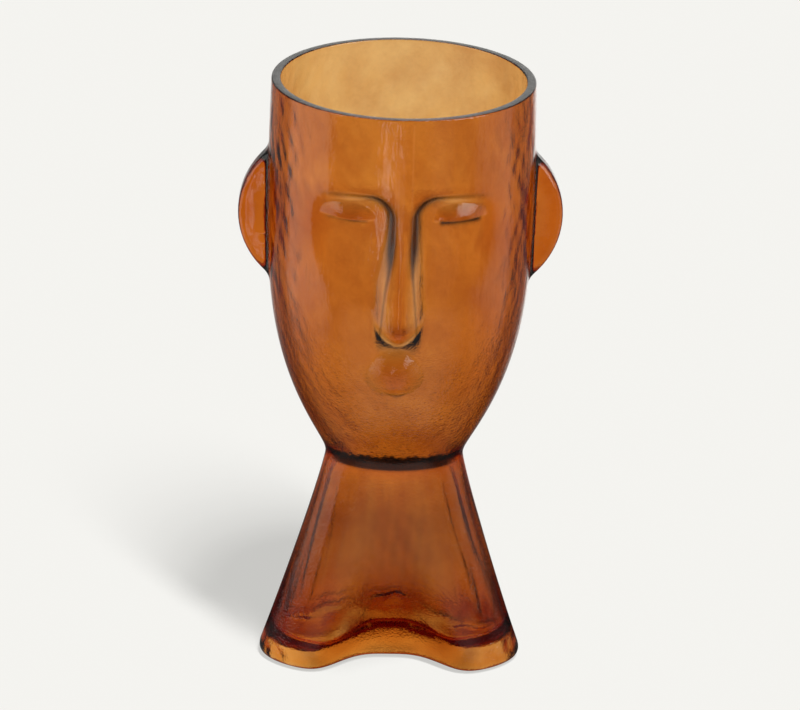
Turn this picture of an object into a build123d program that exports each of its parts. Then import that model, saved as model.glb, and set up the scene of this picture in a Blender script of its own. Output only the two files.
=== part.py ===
from build123d import *
import math
import os

# A face vase in amber glass: a tall open head with a face in low relief, two disc ears,
# a pinched neck and a flared foot whose front hem is drawn in at the middle.
# Lengths are in millimetres. The face looks along -Y, +X is on the right of someone who
# looks at the face, and Z = 0 is the surface that the vase stands on.

# Main sizes of the vessel
neck_height = 109.0
head_height = 187.0
head_radius = 61.6
rim_draw_in = 1.3
neck_half_width = 32.8
neck_half_depth = 22.4
foot_half_width = 65.2
foot_front_depth = 31.0
foot_back_depth = 42.0

# Glass thicknesses
rim_wall = 4.2
neck_wall = 5.4
foot_wall = 6.0
floor_thickness = 12.5

# Edges
rim_bevel = 0.8
foot_edge_radius = 6.0
floor_corner_radius = 7.0

# The hem of the foot, drawn in at the middle of the front
hem_depth = 24.0
hem_half_width = 28.0

# Brow and eye sockets. The brow is measured up from the neck, and the sockets' deepest
# line down from the brow.
brow_height = 151.5
brow_drop = 2.5
brow_half_width = 42.0
brow_corner_radius = 12.0
bridge_half_width = 4.8
socket_depth = 4.5
socket_below_brow = 15.0
socket_half_height = 40.0
socket_half_width = 47.0

# Nose. Its length runs down from the brow, and its foot is sunk into the head's wall.
nose_length = 75.0
nose_projection = 11.0
nose_ridge_half_width = 8.5
nose_foot_half_width = 15.5
nose_sunk = 5.0

# Closed eyelids
eye_spacing = 50.0
eyelid_half_width = 12.0
eyelid_height = 7.5
eyelid_projection = 3.0
lash_below_brow = 12.0

# Mouth: a rounded mound with the lower lip as a smaller roll at its foot. Both are
# measured up from the neck.
mouth_height = 64.0
mouth_half_width = 14.0
mouth_projection = 3.4
lower_lip_height = 57.5
lower_lip_half_width = 9.0
lower_lip_half_height = 4.5
lower_lip_projection = 4.0

# Ears
ear_radius = 40.0
ear_thickness = 11.5
ear_reach = 13.5
ear_height = 122.0
ear_edge_radius = 3.2

# One overrun serves all cuts that must pass a face
overrun = 2.0

# The head's form, as shares of its height: where it is widest, and how far up the narrow
# collar at the chin reaches
widest_share = 0.67
collar_share = 0.03

# How quickly the head grows from the neck, in width and in depth, and how the foot flares
width_growth = 2.9
depth_growth = 2.5
foot_flare = 1.12

# The nose from root to underside, as shares of its length, its projection and the
# half-widths of its ridge and its foot
nose_form_shares = (
    (0.0, 0.0, 0.5, 0.5),
    (0.2, 0.08, 0.52, 0.56),
    (0.4, 0.3, 0.6, 0.66),
    (0.6, 0.58, 0.76, 0.8),
    (0.8, 0.9, 0.96, 0.95),
    (0.92, 0.98, 1.0, 1.0),
    (1.0, 0.0, 0.8, 0.85),
)

# The ridge's edge stands at this share of the nose's projection
ridge_edge_share = 0.72

# Cross-sections along the head and the foot, and points that draw one half of the foot's
head_sections = 9
foot_sections = 6
samples = 16


def mix(start, end, share):
    return start + (end - start) * share


def growth(up, power):
    """How far the head has grown from neck to full size at a share of its height."""
    lift = math.hypot(up, collar_share) - collar_share
    if lift >= widest_share:
        return 1
    return 1 - (1 - lift / widest_share) ** power


def drawn_in_at(up):
    """How far the head draws in again above its widest place."""
    above = max(0, up - widest_share) / (1 - widest_share)
    return rim_draw_in * above**2


def head_half_width(up):
    return mix(neck_half_width, head_radius, growth(up, width_growth)) - drawn_in_at(up)


def head_half_depth(up):
    return mix(neck_half_depth, head_radius, growth(up, depth_growth)) - drawn_in_at(up)


def head_form(inset_at_neck, inset_at_rim):
    """The head's plain form, drawn inwards by the two insets."""
    sections = []
    for step in range(head_sections):
        up = step / (head_sections - 1)
        inset = mix(inset_at_neck, inset_at_rim, up)
        face = Ellipse(head_half_width(up) - inset, head_half_depth(up) - inset)
        sections.append(Pos(0, 0, neck_height + up * head_height) * face)
    return loft(sections)


def foot_section(z, inset):
    """The foot's cross-section at a height: two half ellipses, with the hem drawn in."""
    fall = 1 - z / neck_height
    half_width = mix(neck_half_width, foot_half_width, fall**foot_flare) - inset
    front = mix(neck_half_depth, foot_front_depth, fall) - inset
    back = mix(neck_half_depth, foot_back_depth, fall) - inset
    hem_width = hem_half_width * half_width / foot_half_width
    points = []
    for step in range(2 * samples):
        angle = math.pi * step / samples
        x = half_width * math.sin(angle)
        if math.cos(angle) > 0:
            front_share = 1 - (1 - math.cos(angle)) ** 2
            hem = hem_depth * fall * math.exp(-abs(x / hem_width) ** 3) * front_share
            y = hem - front * math.cos(angle)
        else:
            y = -back * math.cos(angle)
        points.append((x, y))
    return Pos(0, 0, z) * make_face(Spline(*points, periodic=True))


def foot_form(bottom, inset_at_table, inset_at_neck):
    """The foot's form down to a height, drawn inwards by the two insets."""
    sections = []
    for step in range(foot_sections):
        z = mix(neck_height, bottom, step / (foot_sections - 1))
        sections.append(foot_section(z, mix(inset_at_table, inset_at_neck, z / neck_height)))
    return loft(sections)


def make_foot():
    """The flared foot with its thick floor and rounded hem."""
    cavity = foot_form(floor_thickness, foot_wall, neck_wall)
    cavity = fillet(cavity.edges().group_by(Axis.Z)[0], floor_corner_radius)
    body = foot_form(0, 0, 0) - cavity
    return fillet(body.edges().group_by(Axis.Z)[0], foot_edge_radius)


def socket_ring(margin):
    """A rail that runs round the head and dips into its front at the height of the eyes.

    It leaves the head's surface at socket_half_width on both sides, and at
    socket_half_height above and below. The margin moves it deeper all round.
    """
    cosine = math.sqrt(1 - (socket_half_width / head_radius) ** 2)
    clearance_at_side = socket_depth * cosine / (1 - cosine)
    inner_radius = head_radius + clearance_at_side - margin
    shift = clearance_at_side + socket_depth
    far = inner_radius + 4 * socket_depth
    reach = 2 * socket_half_height
    dip = ThreePointArc((far, -reach), (inner_radius, 0), (far, reach))
    face = make_face(Curve() + [dip, Line((far, reach), (far, -reach))])
    rail = revolve(Plane.XZ * face, Axis.Z)
    return Pos(0, shift, neck_height + brow_height - socket_below_brow) * rail


def brow_mask():
    """The forehead and the nose's bridge, seen from the front, as one block."""
    brow = neck_height + brow_height
    corner_x = bridge_half_width + brow_corner_radius
    corner_z = brow - brow_corner_radius
    diagonal = brow_corner_radius * math.sqrt(0.5)
    low = brow - nose_length
    top = brow + socket_half_height
    right = [
        Line((bridge_half_width, low), (bridge_half_width, corner_z)),
        ThreePointArc(
            (bridge_half_width, corner_z),
            (corner_x - diagonal, corner_z + diagonal),
            (corner_x, brow),
        ),
        TangentArc((corner_x, brow), (brow_half_width, brow - brow_drop), tangent=(1, 0)),
        Line((brow_half_width, brow - brow_drop), (head_radius, brow - 2 * brow_drop)),
        Line((head_radius, brow - 2 * brow_drop), (head_radius, top)),
    ]
    left = [mirror(edge, Plane.YZ) for edge in right]
    across = [
        Line((-head_radius, top), (head_radius, top)),
        Line((-bridge_half_width, low), (bridge_half_width, low)),
    ]
    face = make_face(Curve() + right + left + across)
    return extrude(Plane.XZ * face, head_radius + overrun)


def nose():
    """The nose: a rounded ridge on a wider foot, lofted from the brow to its underside."""
    sections = []
    for down, projection_share, ridge_share, foot_share in nose_form_shares:
        height = brow_height - down * nose_length
        surface = head_half_depth(height / head_height)
        top = nose_projection * projection_share
        edge = (top + nose_sunk) * ridge_edge_share - nose_sunk
        ridge = nose_ridge_half_width * ridge_share
        foot = nose_foot_half_width * foot_share
        curve = Spline(
            (-foot, nose_sunk), (-ridge, -edge), (0, -top), (ridge, -edge), (foot, nose_sunk)
        )
        face = make_face(Curve() + [curve, Line((foot, nose_sunk), (-foot, nose_sunk))])
        sections.append(Pos(0, -surface, neck_height + height) * face)
    return loft(sections)


def swelling(half_width, half_height, projection):
    """A spindle that stands proud of the face and tapers to both sides."""
    radius = (half_height**2 + projection**2) / (2 * projection)
    reach = half_width / math.sqrt(projection / radius)
    curve = ThreePointArc((-reach, 0), (0, radius), (reach, 0))
    face = make_face(Curve() + [curve, Line((reach, 0), (-reach, 0))])
    return Pos(0, radius - projection, 0) * revolve(face, Axis.X)


def eyelid(side):
    """One closed eyelid, cut level along the lash line."""
    lash = neck_height + brow_height - lash_below_brow
    floor_radius = head_radius - socket_depth
    turn = math.degrees(math.asin(eye_spacing / 2 / floor_radius))
    lid = split(swelling(eyelid_half_width, eyelid_height, eyelid_projection), keep=Keep.TOP)
    return Rot(0, 0, side * turn) * Pos(0, -floor_radius, lash) * lid


def seat(height, half_height):
    """The place on the face's middle line at a height, tilted like the surface there."""
    above = head_half_depth((height + half_height) / head_height)
    below = head_half_depth((height - half_height) / head_height)
    tilt = math.degrees(math.atan2(above - below, 2 * half_height))
    return Pos(0, -head_half_depth(height / head_height), neck_height + height) * Rot(tilt, 0, 0)


def mouth():
    """A round mound, with the lower lip as a smaller roll at its foot."""
    radius = (mouth_half_width**2 + mouth_projection**2) / (2 * mouth_projection)
    mound = Pos(0, radius - mouth_projection, 0) * Sphere(radius)
    lip = swelling(lower_lip_half_width, lower_lip_half_height, lower_lip_projection)
    mound = seat(mouth_height, mouth_half_width) * mound
    return mound + seat(lower_lip_height, lower_lip_half_height) * lip


def rim_funnel():
    """A cone that opens upwards and bevels the rim's inner edge."""
    corner_radius = head_radius - rim_draw_in - rim_wall
    top_radius = corner_radius + rim_bevel + overrun
    cone = Cone(corner_radius - overrun, top_radius, rim_bevel + 2 * overrun)
    return Pos(0, 0, neck_height + head_height - rim_bevel / 2) * cone


def make_head():
    """The hollow head with its face, open at the neck and at the ground rim."""
    body = head_form(0, 0)
    body = chamfer(body.edges().group_by(Axis.Z)[-1], rim_bevel)
    body = body - (socket_ring(0) - brow_mask())
    body = body + nose() + eyelid(-1) + eyelid(1) + mouth()
    hollow = head_form(neck_wall, rim_wall) + rim_funnel()
    return body - (hollow - socket_ring(rim_wall))


def make_ear(side):
    """A solid disc of glass that ends where it meets the head."""
    x = side * (head_radius + ear_reach - ear_radius)
    disc = Cylinder(ear_radius, ear_thickness)
    disc = fillet(disc.edges().filter_by(GeomType.CIRCLE), ear_edge_radius)
    disc = Pos(x, 0, neck_height + ear_height) * Rot(90, 0, 0) * disc
    return disc - head_form(0, 0)


nodes = {
    "head": make_head(),
    "foot": make_foot(),
    "ear_left": make_ear(-1),
    "ear_right": make_ear(1),
}

os.makedirs("parts", exist_ok=True)
for name, node in nodes.items():
    export_step(node, "parts/" + name + ".step")
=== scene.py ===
import math

import bpy
import numpy as np
from mathutils import Matrix, Vector


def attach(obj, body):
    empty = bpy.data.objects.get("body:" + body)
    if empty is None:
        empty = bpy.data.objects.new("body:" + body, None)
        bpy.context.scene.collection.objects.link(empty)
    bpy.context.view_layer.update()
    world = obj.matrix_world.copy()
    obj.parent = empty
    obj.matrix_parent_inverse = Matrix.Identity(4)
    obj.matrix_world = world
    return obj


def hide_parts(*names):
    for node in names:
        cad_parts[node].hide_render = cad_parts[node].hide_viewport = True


# A face vase in amber glass. The glass is one continuous skin, so this script models it as
# one closed mesh over the four solids of the frame. Lengths are in millimetres, and the mesh
# is brought to metres when it is made. The face looks along -Y. Heights, which are called z,
# are measured from the table. A span is the two places between which something changes.

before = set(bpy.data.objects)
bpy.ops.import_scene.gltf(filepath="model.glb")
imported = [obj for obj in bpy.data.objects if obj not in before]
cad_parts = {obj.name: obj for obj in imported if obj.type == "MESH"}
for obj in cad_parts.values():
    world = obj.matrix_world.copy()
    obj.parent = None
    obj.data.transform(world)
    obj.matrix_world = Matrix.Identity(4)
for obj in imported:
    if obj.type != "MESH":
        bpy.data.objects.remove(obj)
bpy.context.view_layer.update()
MILLIMETRE = 0.001

# Main sizes of the vessel
neck_height = 109.0
head_height = 187.0
head_radius = 61.6
rim_draw_in = 1.3
neck_half_width = 32.8
neck_half_depth = 22.4
foot_half_width = 65.2
foot_front_depth = 31.0
foot_back_depth = 42.0
hem_depth = 24.0
hem_half_width = 28.0
widest_share = 0.67
collar_share = 0.03
width_growth = 2.9
depth_growth = 2.5
foot_flare = 1.12
hem_power = 3

# Glass thicknesses. The skin lies a hair inside the solids.
rim_wall = 4.2
neck_wall = 4.9
foot_wall = 6.2
neck_ring_thickness = 1.8
neck_ring_half_height = 5.5
skin_inset = 0.12

# Edges
foot_edge_radius = 6.0
floor_corner_radius = 4.0
rim_edge_radius = 0.7
crease_half_height = 1.6
crease_steps = 9

# The floor inside the foot and the hollow under it. Both are lower at the two lobes of the
# foot than at the middle of its hem.
floor_height = 19.6
cavity_low = floor_height + floor_corner_radius
dish_inset = 7.2
dish_slope_width = 1.2
dish_top_height = 15.6
dish_lobe_heights = (8.5, 12.0)
dish_lobe_span = (-20.0, 20.0)
dish_hem_half_width = 26.0
dish_back_share = 0.6
foot_middle = np.array([0.0, 13.0])
level_shares = (0.3, 1)
wave_fade_shares = (1, 0.8)
dish_wave = 0.4
floor_wave_height = 0.4
dish_ring_shares = (0.02, 0.15, 0.3, 0.45, 0.6, 0.75, 0.88)
floor_ring_shares = (0.93, 0.85, 0.75, 0.65, 0.55, 0.45, 0.35, 0.25, 0.12, 0.02)
floor_wave_count = 9
floor_wave_pitches = (9, 26)
dish_wave_seed = 41
floor_wave_seed = 47

# The brow and the eye sockets
brow_z = 260.6
brow_line_rise = 0.4
brow_fall = 2.2
brow_fall_start = 22.0
brow_fall_reach = 20.0
bridge_half_width = 3.5
brow_corner_radius = 12.0
socket_depth = 4.3
socket_half_width = 47.0
socket_half_height = 40.0
socket_z = 245.5
socket_edge_widths = (1.5, 5.5)
socket_edge_span = (14.0, 44.0)
socket_edge_power = 1.6
socket_rounding = 1.5
socket_side_span = (46.0, 34.0)

# The nose, with half its ridge's width and its slopes at seven heights
nose_length = 75.0
nose_projection = 9.6
nose_lean = 1.3
nose_lean_span = (248, 212)
nose_root_z = 260.5
nose_rise_power = 1.1
nose_sunk = 5.0
nose_end_height = 12.0
nose_end_power = 2.3
ridge_radius = 1.7
flank_rounding = 0.6
nose_fillets = (1.0, 3.2)
nose_fillet_span = (258, 238)
nose_foot_z = 186.4
nostril_x = 9.0
nostril_rise = 3.9
nostril_turn_width = 3.0
nostril_turn_rise = 2.2
nose_heights = (186.0, 198.0, 206.0, 215.0, 223.0, 240.0, 262.0)
ridge_half_widths = (8.3, 7.6, 6.9, 6.1, 5.0, 3.6, 3.4)
crown_slopes = (0.72, 0.76, 0.76, 0.7, 0.6, 0.3, 0.15)
flank_slopes = (1.15, 1.15, 1.15, 1.2, 1.4, 1.8, 1.8)

# The closed eyelids
lid_center_x = 25.2
lid_half_width = 12.0
lid_height = 8.0
lid_projection = 3.2
lid_side_power = 0.85
lid_top_power = 1.8
lash_z = 247.8
lash_sag = 0.7
lash_edge_span = (-0.9, 0.0)
least_height = 0.01

# The mouth: a mound, the closed lips on it and the lower lip's roll with a groove under it.
# A mound, like the inner lid below, is its middle's z, half its width, half its height and
# the power of its fall. A patch is its middle in x and z, half its width and half its height.
mouth_shift = -2.2
mouth_mound = (172.5, 15.5, 13.5, 1.3)
mouth_projection = 1.6
lips_z = 169.5
lips_half_width = 13.0
lips_rise = 15.5
lips_drop = 10.0
lips_power = 1.2
lips_projection = 4.8
lip_mound = (163.5, 9.0, 4.2, 1.3)
lip_projection = 1.0
groove_patch = (0.0, 160.5, 6.0, 0.8)
groove_depth = 0.6

# How the inside of the wall follows the face
inner_brow_span = (-3, 11.5)
inner_bridge_span = (1.5, 9)
inner_nose_span = (177, 204.5)
inner_nose_share = 0.9
inner_nose_half_width = 8.9
inner_nose_power = 4
inner_groove_share = 0.07
inner_groove_half_width = 1.6
inner_groove_top_span = (250, 236)
inner_groove_low_span = (190, 206)
inner_mouth_share = 0.75
inner_lid_projection = 2.2
inner_lid = (lash_z + 3.5, lid_half_width, 9.5, 1.4)

# The ears
ear_radius = 39.9
ear_half_thickness = 5.7
ear_edge_radius = 3.2
ear_center_x = 35.1
ear_z = 231.0
ear_fillet = 2.6
ear_hollow_depth = 1.5
ear_hollow_shares = (1.0, 0.6)
ear_reach = 16
ear_search_step = 0.05
ear_search_start = 0.02
ear_margin = 6.0
ear_side_share = 0.9

# Where the face's front begins and how far round the sides' ripples reach, as the cosine and
# the sine of the angle from the front
face_front_share = 0.35
side_shares = (0.68, 0.86)
side_ripple_span = (190, 222)

# Ripples: seed, count of waves, height, and their ranges round the vessel and up it
dish_ripple = (61, 9, 0.5, (4, 22), (0.1, 0.6))
foot_ripple = (5, 7, 0.16, (5, 26), (0.01, 0.05))
foot_crinkle = (59, 10, 0.1, (40, 110), (0.05, 0.3))
side_ripple = (11, 12, 0.075, (14, 50), (0.05, 0.5))
wrinkle_ripple = (53, 10, 0.09, (45, 120), (0.5, 1.5))
inner_fine_ripple = (23, 16, 1, (10, 60), (0.05, 0.6))
inner_wide_ripple = (29, 9, 0.13, (3, 12), (0.02, 0.2))
inner_foot_ripple = (31, 9, 0.38, (5, 22), (0.01, 0.08))
inner_foot_crinkle = (37, 12, 0.1, (20, 70), (0.02, 0.3))
inner_ripple_heights = (0.1, 0.155)
inner_low_share = 0.35

# Over which height each patch of ripples fades in or out
foot_fade_span = (8, 20)
foot_top_fade = 8.0
head_fade = 12.0
rim_fade = 6.0
inner_fade = 10.0
inner_rim_fade = 9.0

# Patches of crinkles on the foot, of wrinkles on the forehead and a cheek, of a painted
# shade cloud on the foot and of a nostril's painted dark spot
crinkle_patch = (3.0, 62.0, 16.0, 28.0)
forehead_patch = (-6.0, 279.0, 8.0, 11.0)
cheek_patch = (-17.0, 230.0, 4.5, 13.0)
cheek_slant = 0.2
shade_cloud_patch = (4.0, 60.0, 15.0, 25.0)
nostril_patch = (8.8, 191.5, 1.2, 3.4)

# The uneven fold of glass inside the foot
lap_z = 36.0
lap_fall = 9.0
lap_fall_span = (8, 46)
lap_sway = 1.3
lap_sway_rate = 0.19
lap_jitter = 0.5
lap_jitter_rate = 0.55
lap_left_step = 4.0
lap_left_span = (-17, -21)
lap_right_step = 2.6
lap_right_span = (9, 15)
lap_projection = 1.9
lap_front_shares = (0, 0.35)
lap_side_span = (52, 44)
lap_top_span = (0.9, -0.9)
lap_low_span = (-9, -2)

# Rings up the vessel and columns round it, as the start, end and step of each stretch. The
# columns are in degrees, and the ear's are counted from its own bearing.
rim_edge_low = neck_height + head_height - skin_inset - rim_edge_radius
foot_rows = ((8, 20, 2.4), (20, 46, 0.7), (46, 104, 2.4), (104, neck_height, 0.8))
head_rows = (
    (neck_height, 120, 0.8), (120, 150, 1.7), (150, 156, 1.1), (156, 200, 0.8),
    (200, 241, 1.1), (241, 264, 0.65), (264, 293, 1.0), (293, rim_edge_low, 1.0),
)
inner_head_rows = (
    (neck_height, 116, 1.2), (116, 150, 2.4), (150, 200, 2.0), (200, 270, 2.2),
    (270, 292, 2.8), (292, rim_edge_low, 1.6),
)
inner_foot_bend_z = 46
inner_foot_rows = (
    (cavity_low, inner_foot_bend_z, 0.8), (inner_foot_bend_z, 104, 2.8), (104, neck_height, 1.2)
)
front_columns = ((0, 12, 0.38), (12, 21, 0.62), (21, 50, 1.15), (50, 80, 1.7))
back_columns = (100.5, 179, 2.7)
ear_columns = (
    0, 1.1, 1.9, 2.4, 2.9, 3.35, 3.7, 4.0, 4.25, 4.45, 4.6, 4.75, 4.9, 5.05, 5.2, 5.35, 5.5,
    5.75, 6.1, 6.6, 7.3, 8.3,
)
dish_slope_steps = 6
edge_steps = 8
rim_steps = 4

# The painted shade of the face, the neck and the foot: dark lines painted into the glass's
# colour. How much light each takes, half its width, and where it starts and ends
brow_shade_shares = (0.95, 0.3)
brow_shade_span = (9, 24)
brow_shade_widths = (2.05, 1.3)
brow_width_span = (8, 22)
brow_shade_inset = 1.8
brow_side_span = (42, 30)
brow_low_span = (220, 236)
ridge_shade_shares = (0.36, 0.62)
ridge_shade_widths = (0.6, 0.9)
ridge_shade_span = (212, 232)
ridge_top_span = (248, 236)
ridge_low_span = (188, 194)
ridge_shade_outset = 0.5
tip_shade_share = 0.4
tip_shade_rise = 0.4
tip_shade_width = 0.6
tip_side_span = (11.5, 8.5)
nostril_shade_share = 0.22
right_lash_share = 0.96
right_lash_width = 1.25
left_lash_share = 0.25
left_lash_more_share = 0.6
left_lash_dark_x = -23.0
left_lash_dark_width = 3.0
left_lash_width = 0.8
lash_drop = 0.9
lash_side_span = (10, 8)
lip_shade_share = 0.45
lip_shade_x = -1.0
lip_shade_z = 158.9
lip_shade_rise = 2.6
lip_shade_bend = 4.5
lip_shade_width = 0.6
lip_side_span = (6.5, 4)
neck_shade_share = 0.95
neck_shade_x = -1.0
neck_low_span = (-1.2, 0.4)
neck_top_span = (9.4, 7.6)
neck_side_span = (31, 24)
neck_rise = 2.2
neck_rise_reach = 26.0
neck_ragged = (0.7, 0.55, 0, 0.5, 1.7, 1)
lap_shade_share = 0.5
lap_shade_rise = 2.2
lap_shade_width = 0.7
lap_echo_share = 0.28
lap_echo_rise = 5.0
lap_echo_slant = 0.06
lap_echo_width = 1.1
lap_shade_side_span = (54, 46)
lap_ragged = 0.5
lap_ragged_rates = (1.9, 0.31)
lap_shade_rate = 0.24
lap_shade_phase = 2
foot_shade_cloud_rates = (0.9, 0.12, 0.23, -0.2)
foot_shade_share = 0.14
foot_shade_cloud_share = 0.15
foot_shade_top_span = (100, 80)
foot_shade_low_span = (12, 40)
steady_share = 0.6
shade_power = 2.5

# The glass. Its lengths are in metres, and scales and density are by the metre.
refraction = 1.5
absorbed_colour = (0.897, 0.61, 0.07, 1)
absorbed_density = 440
clear_tint = (1.0, 0.985, 0.96, 1)
cloudy_tint = (0.76, 0.62, 0.55, 1)
# The nearly black colour of the painted shade in the folds
painted_fold_shade_colour = (0.006, 0.004, 0.012, 1)
blotch_scale = 70
blotch_detail = 9
blotch_roughness = 0.72
cloud_scale = 26
noise_detail = 3
tint_range = (0.84, 1.3)
streak_scale = 150
streak_stretch = (1, 1, 0.28)
streak_depth = 0.0003
peel_scale = 1000
peel_detail = 2
peel_depth = 0.0002
peel_span = (0.2, 0.175)
peel_top_share = 0.35

# The room. Its distances are in metres.
floor_colour = (0.8, 0.793, 0.764, 1)
backdrop_colour = (0.905, 0.896, 0.863, 1)
floor_reach = 30
dome_strength = 0.7225
mirror_strength = 1.3
lamp_strength = 1.296
lamp_spread = 5.0
lamp_count = 12
lamp_fall_power = 3
high_lamp = (0.12, -0.25)
low_lamp = (0.55, -0.9)

# Pairs of bearing and brightness, for the room as it mirrors in the glass and as it shows
# through it, with two painted dark bands. A bearing is 0 in front of the face, 1 straight behind
# it and less than 0 on the left. The glow's and the dark bands' tables give one side for both.
left_back_shares = ((-1.0, 0.8), (-0.93, 0.6), (-0.86, 0.2), (-0.63, 0.12))
right_back_shares = ((0.56, 0.55), (0.6, 0.12), (0.8, 0.12), (0.87, 0.9), (1.0, 0.8))
mirror_shares = (
    *left_back_shares, (-0.6, 0.75), (-0.36, 0.85), (-0.343, 0.07), (0.1, 0.06), (0.14, 0.17),
    (0.2, 0.17), (0.24, 0.07), (0.33, 0.08), (0.4, 0.42), *right_back_shares,
)
strip_shares = (
    (-1.0, 0.0), (-0.089, 0.0), (-0.084, 2.2), (-0.069, 2.2), (-0.064, 0.0), (-0.02, 0.0),
    (-0.017, 1.2), (-0.011, 1.2), (-0.008, 0.0), (1.0, 0.0),
)
high_mirror_shares = (
    *left_back_shares, (-0.6, 0.8), (-0.3, 1.5), (-0.287, 0.05), (0.22, 0.05), (0.23, 2.8),
    (0.4, 2.8), (0.415, 0.4), *right_back_shares,
)
glow_side_shares = ((0.0, 1.0), (0.26, 1.0), (0.34, 0.0))
through_shares = ((0.0, 1.0), (0.585, 1.0), (0.62, 0.16), (0.71, 0.16), (0.76, 1.0))

# Pairs of distance from the vase's middle and the floor's painted brightness for rays from
# the glass: painted shade near the vase and a painted glow round its foot. The last table is for
# the room, by how steeply one looks up. Beyond 1 m the floor mirrors as the high room does.
near_shares = (
    (0.0, 0.75), (0.012, 0.55), (0.02, 1.0), (0.03, 1.0), (0.036, 0.6), (0.045, 1.1),
    (0.07, 0.9), (0.1, 0.7), (0.2, 0.72), (0.32, 0.95), (0.62, 1.0),
)
under_shares = ((0.0, 1.0), (0.08, 1.0), (0.1, 0.0))
glow_shares = ((0.055, 0.0), (0.075, 0.32), (0.3, 0.24), (0.42, 0.0))
close_shares = ((0.2, 0.15), (0.46, 1.0))
middle_shares = ((0.42, 0.0), (0.47, 1.0))
far_shares = ((1.0, 0.0), (1.0, 1.0))
high_shares = ((0.3, 1.0), (0.75, 0.12))

# The camera: its angles in degrees, its place in metres and its lens in millimetres
camera_elevation = 23.366
camera_azimuth = -1.7
camera_roll = 1.55
camera_distance = 1.5
camera_target_z = 0.15868
camera_target_x = 0.00155
camera_far_end = 100
lens_length = 143.3
sensor_width = 36

# How far light is followed
light_bounces = 24
mirror_bounces = 12
light_clamp = 4


def mix(start, end, share):
    return start + (end - start) * share


def smoothstep(low, high, value):
    """Rises softly from 0 at low to 1 at high, which may also be the smaller of the two."""
    share = np.clip((value - low) / (high - low), 0, 1)
    return share * share * (3 - 2 * share)


def soft_min(a, b, reach):
    """The smaller of two, with a rounded change-over."""
    near = np.clip(reach - np.abs(a - b), 0, None) / reach
    return np.minimum(a, b) - near * near * reach / 4


def soft_positive(value, reach):
    """The value where it is above zero and else zero, with a rounded change-over."""
    return -soft_min(-value, np.zeros_like(value), reach)


def line_share(distance, half_width):
    """One on a line, which fades out on both sides of it."""
    return np.exp(-((distance / half_width) ** 2))


def patch_share(x, z, middle_x, middle_z, half_width, half_height):
    """One in the middle of a patch, which fades out all round."""
    return line_share(x - middle_x, half_width) * line_share(z - middle_z, half_height)


def bump(x, z, center_z, half_width, half_height, power):
    """A round swelling: one in its middle and nought at its edge."""
    reach = np.hypot(x / half_width, (z - center_z) / half_height)
    return np.clip(1 - reach**2, 0, 1) ** power


def growth(up, power):
    """How far the head has widened from the neck, nought to one, at a share of its height."""
    lift = np.hypot(up, collar_share) - collar_share
    left = np.clip(1 - lift / widest_share, 0, None)
    return 1 - left**power


def head_half_sizes(z):
    """Half the width and half the depth of the head's plain form at a height."""
    up = (z - neck_height) / head_height
    above = np.clip(up - widest_share, 0, None) / (1 - widest_share)
    drawn_in = rim_draw_in * above**2
    width = mix(neck_half_width, head_radius, growth(up, width_growth)) - drawn_in
    depth = mix(neck_half_depth, head_radius, growth(up, depth_growth)) - drawn_in
    return width, depth


def plain_point(t, z, inset):
    """A point of the vessel's plain form: t runs round from the front, at a height z."""
    if z >= neck_height:
        width, depth = head_half_sizes(z)
        width = width - inset
        depth = depth - inset
        return np.stack([width * np.sin(t), -depth * np.cos(t)], axis=-1)
    fall = 1 - z / neck_height
    width = mix(neck_half_width, foot_half_width, fall**foot_flare) - inset
    front = mix(neck_half_depth, foot_front_depth, fall) - inset
    back = mix(neck_half_depth, foot_back_depth, fall) - inset
    hem_width = hem_half_width * width / foot_half_width
    x = width * np.sin(t)
    cosine = np.cos(t)
    front_share = 1 - (1 - cosine) ** 2
    hem = hem_depth * fall * np.exp(-np.abs(x / hem_width) ** hem_power) * front_share
    y = np.where(cosine > 0, hem - front * cosine, -back * cosine)
    return np.stack([x, y], axis=-1)


def wall_at(z):
    """The glass thickness at a height, with a thicker ring where the neck is pinched."""
    ring = neck_ring_thickness * math.exp(-(((z - neck_height) / neck_ring_half_height) ** 2))
    if z >= neck_height:
        return mix(neck_wall, rim_wall, (z - neck_height) / head_height) + ring
    return mix(foot_wall, neck_wall, z / neck_height) + ring


def rounded_ring(t, z, inset):
    """The plain form with the crease at the neck rounded over a few millimetres."""
    if abs(z - neck_height) > 2 * crease_half_height:
        return plain_point(t, z, inset)
    total = 0
    for step in np.linspace(-1, 1, crease_steps):
        total = total + plain_point(t, z + step * crease_half_height, inset)
    return total / crease_steps


def inset_ring(ring, distance):
    """A ring moved inwards along its own normals, weighted for uneven spacing."""
    ahead = np.roll(ring, -1, axis=0) - ring
    behind = np.roll(ahead, 1, axis=0)
    ratio = np.linalg.norm(ahead, axis=1, keepdims=True)
    ratio = ratio / np.linalg.norm(behind, axis=1, keepdims=True)
    along = ahead / ratio + behind * ratio
    length = np.linalg.norm(along, axis=1, keepdims=True)
    normal = np.stack([-along[:, 1], along[:, 0]], axis=1) / length
    return ring + normal * np.reshape(distance, (-1, 1))


def outward(ring):
    """Directions from the vessel's middle line to each point of a ring."""
    return ring / np.linalg.norm(ring, axis=1, keepdims=True)


def at_height(ring, level):
    """A ring in space, at one height or at a height for each of its points."""
    return np.column_stack([ring, np.broadcast_to(level, len(ring))])


def brow_line(u):
    """The height of the brow's lower edge, at a distance u from the middle."""
    down = np.clip(u - brow_fall_start, 0, None) / brow_fall_reach
    return brow_z + brow_line_rise - brow_fall * down**2


def socket_distance(u, z):
    """How far a point of the face is from the brow's and the bridge's line: less than zero
    in the socket."""
    side = bridge_half_width + brow_corner_radius - u
    rise = z - brow_line(u) + brow_corner_radius
    outside = np.hypot(np.clip(side, 0, None), np.clip(rise, 0, None))
    return outside + np.minimum(np.maximum(side, rise), 0) - brow_corner_radius


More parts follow.
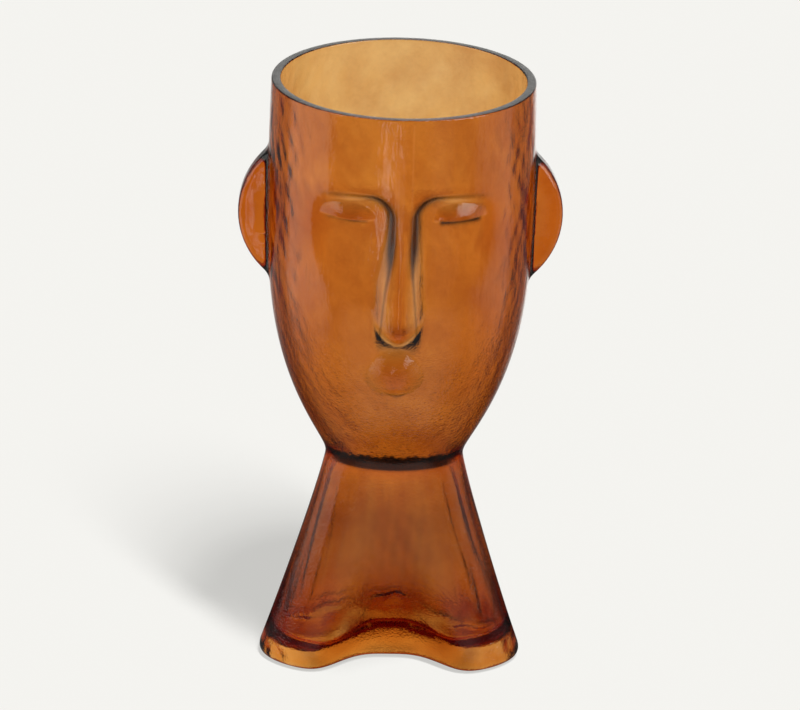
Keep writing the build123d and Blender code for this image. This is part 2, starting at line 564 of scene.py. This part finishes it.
def socket_mask(u, z):
    """One below the brow and beside the bridge, zero on the forehead and the bridge."""
    width = mix(*socket_edge_widths, smoothstep(*socket_edge_span, u))
    inside = np.clip(-socket_distance(u, z) / width, 0, None)
    return 1 - np.exp(-(inside**socket_edge_power))


def socket_recess(x, y, z):
    """How far the eye sockets and cheeks lie behind the head's plain form."""
    cosine = math.sqrt(1 - (socket_half_width / head_radius) ** 2)
    clearance = socket_depth * cosine / (1 - cosine)
    sag = socket_depth * ((z - socket_z) / socket_half_height) ** 2
    radius = head_radius + clearance + sag
    cut = clearance + socket_depth - np.sqrt(np.clip(radius**2 - x**2, 0, None))
    return soft_positive(cut - y, socket_rounding) * smoothstep(*socket_side_span, np.abs(x))


def ridge_profile(z):
    """How far the nose's ridge stands out at a height."""
    down = np.clip((nose_root_z - z) / nose_length, 0, 1)
    return nose_projection * np.sin(math.pi / 2 * down**nose_rise_power) ** 2


def leaned(x, z):
    """The nose leans a little to one side on its way down."""
    return x + nose_lean * smoothstep(*nose_lean_span, z)


def nose_underside(u):
    """The height of the nose's lower edge, which rises to the nostrils and turns up there."""
    turn = np.clip((u - nostril_x) / nostril_turn_width, 0, None)
    return nose_foot_z + nostril_rise * (u / nostril_x) ** 2 + nostril_turn_rise * turn**2


def nose_surface(x, z):
    """The nose as a depth: a narrow rounded ridge, sloping sides and steeper flanks."""
    u = np.abs(leaned(x, z))
    depth = head_half_sizes(z)[1]
    ridge = ridge_profile(z)
    ridge_half = np.interp(z, nose_heights, ridge_half_widths)
    slope = np.interp(z, nose_heights, crown_slopes)
    steep = np.interp(z, nose_heights, flank_slopes)
    near = np.minimum(u, ridge_half)
    crown = slope * (np.hypot(near, ridge_radius) - ridge_radius)
    flank = steep * soft_positive(u - ridge_half, flank_rounding)
    end = np.clip((z - nose_underside(u)) / nose_end_height, 0, 1)
    end = 1 - (1 - end) ** nose_end_power
    return -depth - (ridge + nose_sunk) * end + nose_sunk + crown + flank


def lid_swelling(x, z):
    """Both closed eyelids, cut short along the lash line."""
    across = np.clip(1 - ((np.abs(x) - lid_center_x) / lid_half_width) ** 2, 0, 1)
    lash = lash_z + lash_sag * (1 - across)
    top = np.clip((z - lash) / (lid_height * np.sqrt(across) + least_height), 0, 1)
    over = lid_projection * across**lid_side_power * (1 - top**lid_top_power)
    return over * smoothstep(*lash_edge_span, z - lash)


def mouth_swelling(x, z):
    """A soft mound, the closed lips as a rounder one on it, and the lower lip's roll."""
    x = x - mouth_shift
    half_height = np.where(z > lips_z, lips_rise, lips_drop)
    lips = bump(x, z, lips_z, lips_half_width, half_height, lips_power)
    swelling = mouth_projection * bump(x, z, *mouth_mound) + lips_projection * lips
    swelling = swelling + lip_projection * bump(x, z, *lip_mound)
    return swelling - groove_depth * patch_share(x, z, *groove_patch)


def outer_face(x, y, z):
    """The depth of the outer skin at the front."""
    recess = socket_recess(x, y, z) * socket_mask(np.abs(leaned(x, z)), z)
    cheek = y + recess - lid_swelling(x, z) - mouth_swelling(x, z)
    fillet = mix(*nose_fillets, smoothstep(*nose_fillet_span, z))
    return soft_min(cheek, nose_surface(x, z), fillet)


def inner_face(x, y, z):
    """The inside follows the face softly, as blown glass does in a mould."""
    u = np.abs(leaned(x, z))
    ridge_half = np.interp(z, nose_heights, ridge_half_widths)
    beside = u - ridge_half + ridge_half_widths[-1]
    mask = smoothstep(*inner_brow_span, brow_line(u) - z)
    mask = mask * smoothstep(*inner_bridge_span, beside)
    width, depth = head_half_sizes(z)
    outer = -depth * np.sqrt(np.clip(1 - (x / width) ** 2, 0, None))
    recess = socket_recess(x, outer, z) * mask
    groove = inner_groove_share * line_share(u, inner_groove_half_width)
    groove = groove * smoothstep(*inner_groove_top_span, z)
    groove = groove * smoothstep(*inner_groove_low_span, z)
    nose = (inner_nose_share - groove) * ridge_profile(z) * smoothstep(*inner_nose_span, z)
    nose = nose * np.exp(-((u / inner_nose_half_width) ** inner_nose_power))
    mound = inner_mouth_share * mouth_swelling(x, z)
    lid = bump(np.abs(x) - lid_center_x, z, *inner_lid)
    return y + recess - nose - mound - inner_lid_projection * lid


def lap_line(x):
    """The height at which an uneven fold of glass crosses the foot's front."""
    line = lap_z - lap_fall * smoothstep(*lap_fall_span, np.abs(x))
    line = line + lap_sway * np.sin(lap_sway_rate * x + 1)
    line = line + lap_jitter * np.sin(lap_jitter_rate * x)
    line = line + lap_left_step * smoothstep(*lap_left_span, x)
    return line - lap_right_step * smoothstep(*lap_right_span, x)


def brow_shade(u, z):
    """A painted dark line along the brow and down beside the bridge."""
    width = mix(*brow_shade_widths, smoothstep(*brow_width_span, u))
    share = mix(*brow_shade_shares, smoothstep(*brow_shade_span, u))
    share = share * smoothstep(*brow_side_span, u) * smoothstep(*brow_low_span, z)
    return share * line_share(socket_distance(u, z) + brow_shade_inset, width)


def ridge_shade(u, z):
    """A painted dark line on each side of the nose's ridge."""
    up = smoothstep(*ridge_shade_span, z)
    beside = u - np.interp(z, nose_heights, ridge_half_widths) - ridge_shade_outset
    share = mix(*ridge_shade_shares, up) * line_share(beside, mix(*ridge_shade_widths, up))
    return share * smoothstep(*ridge_top_span, z) * smoothstep(*ridge_low_span, z)


def tip_shade(u, z):
    """A painted dark line under the nose's tip."""
    below = z - nose_underside(u) - tip_shade_rise
    return tip_shade_share * line_share(below, tip_shade_width) * smoothstep(*tip_side_span, u)


def nostril_shade(u, z):
    """A painted dark spot at each nostril."""
    return nostril_shade_share * patch_share(u, z, *nostril_patch)


def lash_shade(x, z):
    """The lash lines, painted dark: strong on the right, and on the left only near the nose."""
    left = line_share(x - left_lash_dark_x, left_lash_dark_width)
    left = left_lash_share + left_lash_more_share * left
    share = np.where(x > 0, right_lash_share, left)
    width = np.where(x > 0, right_lash_width, left_lash_width)
    along = np.abs(np.abs(x) - lid_center_x)
    return share * line_share(z - lash_z + lash_drop, width) * smoothstep(*lash_side_span, along)


def lip_shade(x, z):
    """A short painted dark arc under the lower lip."""
    aside = x - lip_shade_x
    arc = z - lip_shade_z - lip_shade_rise * (aside / lip_shade_bend) ** 2
    share = lip_shade_share * line_share(arc, lip_shade_width)
    return share * smoothstep(*lip_side_span, np.abs(aside))


def neck_shade(x, z):
    """A painted dark crescent over the neck's front, with a ragged upper edge."""
    above = z - neck_height
    size, rate, phase, fine_size, fine_rate, fine_phase = neck_ragged
    ragged = size * np.sin(rate * x + phase) + fine_size * np.sin(fine_rate * x + fine_phase)
    ragged = ragged + neck_rise * (x / neck_rise_reach) ** 2
    share = neck_shade_share * smoothstep(*neck_low_span, above)
    share = share * smoothstep(*neck_top_span, above + ragged)
    return share * smoothstep(*neck_side_span, np.abs(x - neck_shade_x))


def lap_shade(x, z):
    """A painted dark line along the foot's fold and a fainter one above it."""
    rate, slow_rate = lap_ragged_rates
    over = z - lap_line(x) - lap_ragged * np.sin(rate * x) * np.sin(slow_rate * x)
    first = lap_shade_share * line_share(over - lap_shade_rise, lap_shade_width)
    above = over - lap_echo_rise + lap_echo_slant * x
    second = lap_echo_share * line_share(above, lap_echo_width)
    swell = mix(steady_share, 1, np.sin(lap_shade_rate * x + lap_shade_phase))
    return (first + second) * smoothstep(*lap_shade_side_span, np.abs(x)) * swell


def foot_shade(x, z):
    """A slight painted shade on the foot's front with a painted darker cloud in its middle."""
    across, up, slow_across, slow_up = foot_shade_cloud_rates
    cloud = np.sin(across * x + up * z) * np.sin(slow_across * x + slow_up * z + 1)
    cloud = mix(steady_share, 1, cloud) * patch_share(x, z, *shade_cloud_patch)
    share = smoothstep(*foot_shade_top_span, z) * smoothstep(*foot_shade_low_span, z)
    return share * (foot_shade_share + foot_shade_cloud_share * cloud)


def painted_fold_shade_share(x, z):
    """How dark the painted shade in the folds of the face, the neck and the foot is: none is 0.
    """
    u = np.abs(leaned(x, z))
    clear = 1
    for shade in (brow_shade, ridge_shade, tip_shade, nostril_shade):
        clear = clear * (1 - shade(u, z))
    for shade in (lash_shade, lip_shade, neck_shade, lap_shade, foot_shade):
        clear = clear * (1 - shade(x, z))
    return 1 - clear**shade_power


def ear_gap(x, y, z):
    """Signed distance to an ear's disc with its rounded edge and its slightly hollow faces."""
    off_center = np.hypot(np.abs(x) - ear_center_x, z - ear_z)
    flat_radius = ear_radius - ear_edge_radius
    around = off_center - ear_radius + ear_edge_radius
    hollow = ear_hollow_depth * smoothstep(*ear_hollow_shares, off_center / flat_radius)
    aside = np.abs(y) - ear_half_thickness + hollow + ear_edge_radius
    outside = np.hypot(np.clip(around, 0, None), np.clip(aside, 0, None))
    return outside + np.minimum(np.maximum(around, aside), 0) - ear_edge_radius


def with_ears(ring, z):
    """The ring pushed out where the ears are, with a small fillet at the head."""
    base = np.linalg.norm(ring, axis=1)
    heading = ring / base[:, None]
    reach = np.arange(0, ear_reach, ear_search_step)
    radius = base[:, None] + reach[None, :] - ear_search_start
    x = radius * heading[:, :1]
    y = radius * heading[:, 1:]
    gap = soft_min(radius - base[:, None], ear_gap(x, y, z), ear_fillet)
    inside = gap < 0
    last = inside.shape[1] - 1 - np.argmax(inside[:, ::-1], axis=1)
    out = np.where(inside.any(axis=1), radius[np.arange(len(base)), last], base)
    return heading * out[:, None]


def ripple(t, z, seed, waves, amplitude, round_range, up_range):
    """Soft waves as hand-worked glass has them, the same on each run."""
    random = np.random.default_rng(seed)
    total = np.zeros_like(t)
    for _ in range(waves):
        around = round(random.uniform(*round_range))
        along = random.uniform(*up_range)
        phase = random.uniform(0, 2 * math.pi)
        sign = random.choice((-1, 1))
        total = total + np.sin(around * t + sign * along * z + phase)
    return amplitude * total / math.sqrt(waves)


def wrinkle(t, x, z):
    """Small wrinkles in two patches, one on the forehead and one on a cheek."""
    forehead = patch_share(x, z, *forehead_patch)
    cheek = patch_share(x - cheek_slant * (z - cheek_patch[1]), z, *cheek_patch)
    return np.abs(ripple(t, z, *wrinkle_ripple)) * (forehead + cheek)


def lap(t, x, z):
    """How far the fold stands out inside the foot, where the gather ran together."""
    above = z - lap_line(x)
    near = smoothstep(*lap_front_shares, np.cos(t)) * smoothstep(*lap_side_span, np.abs(x))
    near = near * smoothstep(*lap_top_span, above) * smoothstep(*lap_low_span, above)
    return lap_projection * near


def floor_wave(ring, seed):
    """Uneven swells across the glass floor or the hollow under it."""
    random = np.random.default_rng(seed)
    total = np.zeros(len(ring))
    for _ in range(floor_wave_count):
        heading = random.uniform(0, math.pi)
        pitch = random.uniform(*floor_wave_pitches)
        phase = random.uniform(0, 2 * math.pi)
        way = ring[:, 0] * math.cos(heading) + ring[:, 1] * math.sin(heading)
        total = total + np.sin(2 * math.pi * way / pitch + phase)
    return total / math.sqrt(floor_wave_count)


def dish_rise(t):
    """How high the hollow under the foot rises along its edge."""
    x = foot_half_width * np.sin(t)
    front = np.where(np.cos(t) > 0, 1, dish_back_share)
    lobes = mix(*dish_lobe_heights, smoothstep(*dish_lobe_span, x))
    middle = np.exp(-np.abs(x / dish_hem_half_width) ** hem_power) * front
    return mix(lobes, dish_top_height, middle)


def floor_drop(t):
    """How far the floor lies below its highest, which it has above the hem's middle. Beside
    the slanted hem the floor and the hollow come very near, and cross in a few specks."""
    return dish_top_height - dish_rise(t)


def evened(heights, share):
    """The heights along an edge, evened out towards the middle of its surface."""
    return mix(heights.mean(), heights, smoothstep(*level_shares, share))


def rows(*stretches):
    """Places from low to high: each stretch is its start, its end and its step."""
    places = []
    for start, end, step in stretches:
        count = max(1, round((end - start) / step))
        places.extend(np.linspace(start, end, count, endpoint=False))
    return places


def columns():
    """Angles round the vessel, close together at the nose and at the ears' sides."""
    beside = np.array(ear_columns)
    before = 90 - beside[::-1]
    behind = 90 + beside[1:]
    half = np.concatenate([rows(*front_columns), before, behind, np.arange(*back_columns)])
    return np.radians(np.concatenate([half, [180.0], 360 - half[:0:-1]]))


def underside_rings(t):
    """The hollow under the foot, from its middle to the narrow rim that the vase stands on."""
    rings = []
    base = plain_point(t, 0.0, skin_inset)
    dish_edge = inset_ring(base, dish_inset)
    dish_top = inset_ring(base, dish_inset + dish_slope_width)
    rise = dish_rise(t)
    for share in dish_ring_shares:
        ring = mix(foot_middle, dish_top, share)
        wave = dish_wave * floor_wave(ring, dish_wave_seed) * smoothstep(*wave_fade_shares, share)
        rings.append(at_height(ring, skin_inset + evened(rise, share) + wave))
    for step in range(dish_slope_steps + 1):
        angle = math.pi * step / dish_slope_steps
        z = rise * (1 + math.cos(angle)) / 2
        side = mix(dish_top, dish_edge, step / dish_slope_steps)
        wave = ripple(t, z, *dish_ripple) * math.sin(angle)
        rings.append(at_height(inset_ring(side, wave), skin_inset + z))
    flat = inset_ring(base, foot_edge_radius)
    rings.append(at_height(mix(dish_edge, flat, 0.5), skin_inset))
    return rings


def outer_foot_rings(t):
    """The foot's rounded edge and its outside up to the neck."""
    rings = []
    for step in range(edge_steps + 1):
        angle = math.pi / 2 * step / edge_steps
        z = foot_edge_radius * (1 - math.cos(angle))
        inset = foot_edge_radius * (1 - math.sin(angle))
        rings.append(at_height(inset_ring(plain_point(t, z, skin_inset), inset), z + skin_inset))
    for z in rows(*foot_rows):
        ring = rounded_ring(t, z, skin_inset)
        fade = smoothstep(*foot_fade_span, z) * smoothstep(0, foot_top_fade, neck_height - z)
        wave = np.abs(ripple(t, z, *foot_ripple)) * fade
        patch = patch_share(ring[:, 0], z, *crinkle_patch) * (np.cos(t) > 0)
        wave = wave + np.abs(ripple(t, z, *foot_crinkle)) * patch
        rings.append(at_height(ring - outward(ring) * wave[:, None], z))
    return rings


def outer_head_rings(t):
    """The head's outside with the face and the ears."""
    rings = []
    front = np.cos(t) > face_front_share
    beside = np.abs(np.sin(t)) > ear_side_share
    for z in rows(*head_rows):
        ring = rounded_ring(t, z, skin_inset)
        side = smoothstep(*side_shares, np.abs(np.sin(t))) * smoothstep(*side_ripple_span, z)
        wave = ripple(t, z, *side_ripple) * side
        fade = smoothstep(0, head_fade, z - neck_height)
        fade = fade * smoothstep(0, rim_fade, rim_edge_low - z)
        plain = ring - outward(ring) * (np.abs(wave) * fade)[:, None]
        shaped = plain.copy()
        level = np.full(front.sum(), z)
        shaped[front, 1] = outer_face(plain[front, 0], plain[front, 1], level)
        shaped = shaped - outward(ring) * wrinkle(t, plain[:, 0], z)[:, None]
        if abs(z - ear_z) < ear_radius + ear_margin:
            shaped[beside] = with_ears(shaped[beside], z)
        rings.append(at_height(shaped, z))
    return rings


def rim_rings(t):
    """The rim's two rounded edges, over the top from outside to inside."""
    rings = []
    edge = plain_point(t, neck_height + head_height, skin_inset)
    for side in ("outside", "inside"):
        for step in range(rim_steps + 1):
            angle = math.pi / 2 * step / rim_steps
            inset = rim_edge_radius * (1 - math.cos(angle))
            rise = rim_edge_radius * math.sin(angle)
            if side == "inside":
                inset = rim_wall - rim_edge_radius * (1 - math.sin(angle))
                rise = rim_edge_radius * math.cos(angle)
            rings.append(at_height(inset_ring(edge, inset), rim_edge_low + rise))
    return rings


def inner_head_rings(t):
    """The head's inside, from the rim down to the neck."""
    rings = []
    front = np.cos(t) > face_front_share
    for z in rows(*inner_head_rows)[::-1]:
        ring = rounded_ring(t, z, wall_at(z))
        height = mix(*inner_ripple_heights, smoothstep(*side_shares, np.abs(np.sin(t))))
        height = height * mix(inner_low_share, 1, smoothstep(*side_ripple_span, z))
        wave = ripple(t, z, *inner_fine_ripple) * height + ripple(t, z, *inner_wide_ripple)
        fade = smoothstep(0, inner_fade, z - neck_height)
        fade = fade * smoothstep(0, inner_rim_fade, rim_edge_low - z)
        shaped = ring - outward(ring) * (wave * fade)[:, None]
        level = np.full(front.sum(), z)
        shaped[front, 1] = inner_face(shaped[front, 0], shaped[front, 1], level)
        rings.append(at_height(shaped, z))
    return rings


def inner_foot_rings(t):
    """The foot's inside from the neck down to the floor, with the floor's rounded corner."""
    rings = []
    drop = floor_drop(t)
    for z in rows(*inner_foot_rows)[::-1]:
        ring = rounded_ring(t, z, wall_at(z))
        wave = ripple(t, z, *inner_foot_ripple) + ripple(t, z, *inner_foot_crinkle)
        fade = smoothstep(0, inner_fade, z - cavity_low)
        fade = fade * smoothstep(0, inner_fade, neck_height - z)
        shaped = ring - outward(ring) * (wave * fade + lap(t, ring[:, 0], z))[:, None]
        level = z - drop * smoothstep(inner_foot_bend_z, cavity_low, z)
        rings.append(at_height(shaped, level))
    for step in range(1, edge_steps + 1):
        angle = math.pi / 2 * step / edge_steps
        z = cavity_low - floor_corner_radius * math.sin(angle)
        inset = floor_corner_radius * (1 - math.cos(angle))
        ring = inset_ring(plain_point(t, z, wall_at(z)), inset)
        rings.append(at_height(ring, z - drop))
    return rings


def floor_rings(t, edge):
    """The glass floor, from its edge to its middle."""
    rings = []
    drop = floor_drop(t)
    for share in floor_ring_shares:
        ring = mix(foot_middle, edge, share)
        wave = floor_wave(ring, floor_wave_seed) * smoothstep(*wave_fade_shares, share)
        level = floor_height - evened(drop, share) + floor_wave_height * wave
        rings.append(at_height(ring, level))
    return rings


def vessel_rings():
    """All rings of the skin, from the middle of the underside over the rim to the floor."""
    t = columns()
    rings = underside_rings(t) + outer_foot_rings(t) + outer_head_rings(t) + rim_rings(t)
    rings = rings + inner_head_rings(t) + inner_foot_rings(t)
    return rings + floor_rings(t, rings[-1][:, :2])


def painted_fold_shade_values(points, outer_count):
    """The painted fold shade of each point of the mesh, which is nought but on the outer front.
    """
    x, y, z = points.T
    share = painted_fold_shade_share(x, z) * (y < 0)
    share[outer_count:] = 0
    return share


def vase_faces(ring_count, count):
    """Four-sided faces between the rings, and a small fan at each end."""
    last_start = (ring_count - 1) * count
    low_end = last_start + count
    faces = []
    for start in range(0, last_start, count):
        here = np.arange(start, start + count)
        after = np.roll(here, -1)
        faces.extend(np.column_stack([here, after, after + count, here + count]).tolist())
    for index in range(count):
        after = (index + 1) % count
        faces.append((after, index, low_end))
        faces.append((last_start + index, last_start + after, low_end + 1))
    return faces


def add_object(name, data):
    thing = bpy.data.objects.new(name, data)
    bpy.context.scene.collection.objects.link(thing)
    return thing


def make_vase():
    """One closed mesh from the rings, with the painted shade of the folds as a value of its
    points.
    """
    rings = vessel_rings()
    count = len(rings[0])
    highest = max(range(len(rings)), key=lambda index: rings[index][0, 2])
    ends = np.array([rings[0].mean(axis=0), rings[-1].mean(axis=0)])
    points = np.concatenate([*rings, ends]) * MILLIMETRE
    mesh = bpy.data.meshes.new("vase_glass")
    mesh.from_pydata(points.tolist(), [], vase_faces(len(rings), count))
    mesh.update()
    mesh.polygons.foreach_set("use_smooth", [True] * len(mesh.polygons))
    painted_fold_shade = mesh.attributes.new("painted_fold_shade", "FLOAT", "POINT")
    painted_fold_shade.data.foreach_set("value", painted_fold_shade_values(points / MILLIMETRE, highest * count))
    return add_object("vase_glass", mesh)


def fill(tree, node, inputs):
    """Sets a node's inputs, or links them where another node's output is given."""
    for name, value in inputs.items():
        if isinstance(value, bpy.types.NodeSocket):
            tree.links.new(value, node.inputs[name])
        else:
            node.inputs[name].default_value = value
    return node


def add_node(tree, kind, inputs):
    return fill(tree, tree.nodes.new("ShaderNode" + kind), inputs)


def calculate(tree, operation, first, second):
    node = add_node(tree, "Math", {0: first, 1: second})
    node.operation = operation
    return node.outputs[0]


def colour_mix(tree, factor, first, second, blend="MIX"):
    node = add_node(tree, "Mix", {})
    node.data_type = "RGBA"
    node.blend_type = blend
    return fill(tree, node, {"Factor": factor, "A": first, "B": second}).outputs["Result"]


def noise(tree, place, scale, detail, more):
    inputs = {"Vector": place, "Scale": scale, "Detail": detail} | more
    return add_node(tree, "TexNoise", inputs).outputs["Fac"]


def share_between(tree, value, low, high, more):
    inputs = {"Value": value, "From Min": low, "From Max": high} | more
    return add_node(tree, "MapRange", inputs).outputs["Result"]


def raised(tree, height, depth, more):
    inputs = {"Height": height, "Distance": depth} | more
    return add_node(tree, "Bump", inputs).outputs["Normal"]


def glass_tint(tree, place):
    """A mottled tint, with painted shade that goes nearly black in the folds."""
    blotch = noise(tree, place, blotch_scale, blotch_detail, {"Roughness": blotch_roughness})
    cloud = noise(tree, place, cloud_scale, noise_detail, {})
    cloudy = share_between(tree, calculate(tree, "ADD", blotch, cloud), *tint_range, {})
    painted_fold_shade = add_node(tree, "Attribute", {})
    painted_fold_shade.attribute_name = "painted_fold_shade"
    mottled = colour_mix(tree, cloudy, clear_tint, cloudy_tint)
    return colour_mix(tree, painted_fold_shade.outputs["Fac"], mottled, painted_fold_shade_colour)


def glass_relief(tree, place):
    """Tall streaks and a fine peel, which is weaker on the upper head."""
    tall = add_node(tree, "Mapping", {"Vector": place, "Scale": streak_stretch})
    streaks = noise(tree, tall.outputs["Vector"], streak_scale, noise_detail, {})
    peel = noise(tree, place, peel_scale, peel_detail, {})
    waves = raised(tree, streaks, streak_depth, {"Strength": 1})
    height = add_node(tree, "SeparateXYZ", {"Vector": place}).outputs["Z"]
    low = share_between(tree, height, *peel_span, {"To Min": peel_top_share})
    return raised(tree, peel, peel_depth, {"Strength": low, "Normal": waves})


def glass_material():
    """Clear amber glass whose colour deepens with the way that light goes through it."""
    material = bpy.data.materials.new("amber_glass")
    material.use_nodes = True
    tree = material.node_tree
    place = add_node(tree, "TexCoord", {}).outputs["Object"]
    fill(tree, tree.nodes["Principled BSDF"], {
        "Roughness": 0, "IOR": refraction, "Transmission Weight": 1,
        "Base Color": glass_tint(tree, place), "Normal": glass_relief(tree, place),
    })
    absorbing = {"Color": absorbed_colour, "Density": absorbed_density}
    absorption = add_node(tree, "VolumeAbsorption", absorbing)
    fill(tree, tree.nodes["Material Output"], {"Volume": absorption.outputs["Volume"]})
    return material


def ramp(tree, value, stops):
    """A brightness that runs through the given pairs of place and value."""
    node = add_node(tree, "ValToRGB", {"Fac": value})
    band = node.color_ramp.elements
    while len(band) < len(stops):
        band.new(0.5)
    for element, (place, bright) in zip(band, stops):
        element.position = place
        element.color = (bright, bright, bright, 1)
    return node.outputs["Color"]


def all_round(tree, angle, shares):
    """A brightness by bearing, from pairs that run from -1 to 1, or from 0 for both sides."""
    if shares[0][0] == 0:
        shares = [(-place, bright) for place, bright in shares[:0:-1]] + list(shares)
    return ramp(tree, angle, [(0.5 + place / 2, bright) for place, bright in shares])


def bearing(tree, place):
    """Half in front of the face, nought behind it on the left and one behind on the right,
    and with it the place's height."""
    parts = add_node(tree, "SeparateXYZ", {"Vector": place}).outputs
    ahead = calculate(tree, "MULTIPLY", parts["Y"], -1)
    angle = calculate(tree, "ARCTAN2", parts["X"], ahead)
    share = calculate(tree, "DIVIDE", angle, 2 * math.pi)
    return calculate(tree, "ADD", share, 0.5), parts["Z"]


def shining(tree, kind, bright, strength):
    """A shader that gives the backdrop's colour at the given brightness."""
    colour = colour_mix(tree, 1, backdrop_colour, bright, "MULTIPLY")
    return add_node(tree, kind, {"Color": colour, "Strength": strength}).outputs[0]


def choose(tree, ray, first, second):
    """The second shader for one kind of ray, and the first for the others."""
    factor = add_node(tree, "LightPath", {}).outputs[ray]
    return add_node(tree, "MixShader", {"Fac": factor, 1: first, 2: second}).outputs[0]


def with_glass(tree, kind, plain, mirrored, seen):
    """A plain shader that shines at one brightness where the glass mirrors it, and at another
    where it shows through the glass."""
    mirror = shining(tree, kind, mirrored, mirror_strength)
    surface = choose(tree, "Is Glossy Ray", plain, mirror)
    return choose(tree, "Is Transmission Ray", surface, shining(tree, kind, seen, 1))


def floor_through(tree, angle, distance):
    """The floor's painted glow for light that came through the glass, with painted shade near the
    vase.
    """
    near = ramp(tree, distance, near_shares)
    cards = all_round(tree, angle, through_shares)
    under = ramp(tree, distance, under_shares)
    return calculate(tree, "MULTIPLY", near, calculate(tree, "MAXIMUM", cards, under))


def floor_mirrored(tree, angle, distance):
    """The floor's painted glow as the glass mirrors it, with painted shade near the vase."""
    middle = ramp(tree, distance, middle_shares)
    strip = calculate(tree, "MULTIPLY", middle, all_round(tree, angle, strip_shares))
    low = calculate(tree, "ADD", strip, all_round(tree, angle, mirror_shares))
    low = calculate(tree, "MULTIPLY", low, ramp(tree, distance, close_shares))
    sides = all_round(tree, angle, glow_side_shares)
    glow = calculate(tree, "MULTIPLY", ramp(tree, distance, glow_shares), sides)
    low = calculate(tree, "ADD", low, glow)
    high = all_round(tree, angle, high_mirror_shares)
    return colour_mix(tree, ramp(tree, distance, far_shares), low, high)


def floor_material():
    """A pale matt floor. In the glass it glows as painted light with the room's bright and dark
    sides.
    """
    material = bpy.data.materials.new("pale_floor")
    material.use_nodes = True
    tree = material.node_tree
    tree.nodes.remove(tree.nodes["Principled BSDF"])
    place = add_node(tree, "TexCoord", {}).outputs["Object"]
    angle, _ = bearing(tree, place)
    measure = add_node(tree, "VectorMath", {0: place})
    measure.operation = "LENGTH"
    distance = measure.outputs["Value"]
    matt = add_node(tree, "BsdfDiffuse", {"Color": floor_colour}).outputs[0]
    mirrored = floor_mirrored(tree, angle, distance)
    seen = floor_through(tree, angle, distance)
    surface = with_glass(tree, "Emission", matt, mirrored, seen)
    fill(tree, tree.nodes["Material Output"], {"Surface": surface})
    return material


def make_floor():
    mesh = bpy.data.meshes.new("floor")
    sides = ((-1, -1), (1, -1), (1, 1), (-1, 1))
    corners = [(x * floor_reach, y * floor_reach, 0) for x, y in sides]
    mesh.from_pydata(corners, [], [(0, 1, 2, 3)])
    mesh.materials.append(floor_material())
    floor = add_object("floor", mesh)


def make_world():
    """A pale room whose light on matt surfaces is even all round."""
    world = bpy.data.worlds.new("studio")
    bpy.context.scene.world = world
    world.use_nodes = True
    world.cycles.sampling_method = "NONE"
    tree = world.node_tree
    even = {"Color": (1, 1, 1, 1), "Strength": dome_strength}
    plain = fill(tree, tree.nodes["Background"], even).outputs[0]
    angle, height = bearing(tree, add_node(tree, "TexCoord", {}).outputs["Generated"])
    mirrored = all_round(tree, angle, high_mirror_shares)
    high = ramp(tree, height, high_shares)
    seen = calculate(tree, "MULTIPLY", high, all_round(tree, angle, through_shares))
    backdrop = add_node(tree, "Background", {"Color": backdrop_colour}).outputs[0]
    surface = with_glass(tree, "Background", plain, mirrored, seen)
    surface = choose(tree, "Is Camera Ray", surface, backdrop)
    fill(tree, tree.nodes["World Output"], {"Surface": surface})


def make_lights():
    """A long narrow light, from nearly overhead down to the right in front."""
    shares = [index / lamp_count for index in range(lamp_count)]
    weights = [(1 - share) ** lamp_fall_power for share in shares]
    for share, weight in zip(shares, weights):
        reach = share * lamp_count / (lamp_count - 1)
        slant = Vector(high_lamp).lerp(Vector(low_lamp), reach)
        place = Vector((*slant, 1)).normalized()
        lamp = bpy.data.lights.new("lamp", "SUN")
        lamp.energy = lamp_strength * weight / sum(weights) / place.z
        lamp.angle = math.radians(lamp_spread)
        sun = add_object("lamp", lamp)
        sun.location = place
        sun.rotation_euler = (-place).to_track_quat("-Z", "Y").to_euler()
        sun.visible_glossy = False
        sun.visible_transmission = False


def make_camera():
    """The photograph's viewpoint: a long lens, a high place and a slight roll."""
    elevation = math.radians(camera_elevation)
    azimuth = math.radians(camera_azimuth)
    roll = math.radians(camera_roll)
    right = Vector((math.cos(azimuth), math.sin(azimuth), 0))
    back = Vector((math.sin(azimuth), -math.cos(azimuth), 0)) * math.cos(elevation)
    back = back + Vector((0, 0, math.sin(elevation)))
    up = back.cross(right)
    target = Vector((0, 0, camera_target_z)) + right * camera_target_x
    place = target + back * camera_distance
    across = right * math.cos(roll) + up * math.sin(roll)
    upward = up * math.cos(roll) - right * math.sin(roll)
    turn = Matrix((across, upward, back)).transposed()
    lens = bpy.data.cameras.new("camera")
    lens.lens = lens_length
    lens.sensor_width = sensor_width
    lens.clip_end = camera_far_end
    camera = add_object("camera", lens)
    camera.matrix_world = Matrix.Translation(place) @ turn.to_4x4()
    bpy.context.scene.camera = camera


def set_light_paths():
    """Colours as they are, and light followed far enough to cross both walls of the glass."""
    scene = bpy.context.scene
    scene.view_settings.view_transform = "Standard"
    scene.view_settings.look = "None"
    cycles = scene.cycles
    cycles.max_bounces = light_bounces
    cycles.transmission_bounces = light_bounces
    cycles.glossy_bounces = mirror_bounces
    cycles.caustics_refractive = False
    cycles.caustics_reflective = False
    cycles.sample_clamp_indirect = light_clamp
    cycles.use_denoising = True


make_camera()
vase = make_vase()
vase.data.materials.append(glass_material())
vase.visible_diffuse = False
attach(vase, "root")
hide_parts("head", "foot", "ear_left", "ear_right")
make_floor()
make_world()
make_lights()
set_light_paths()
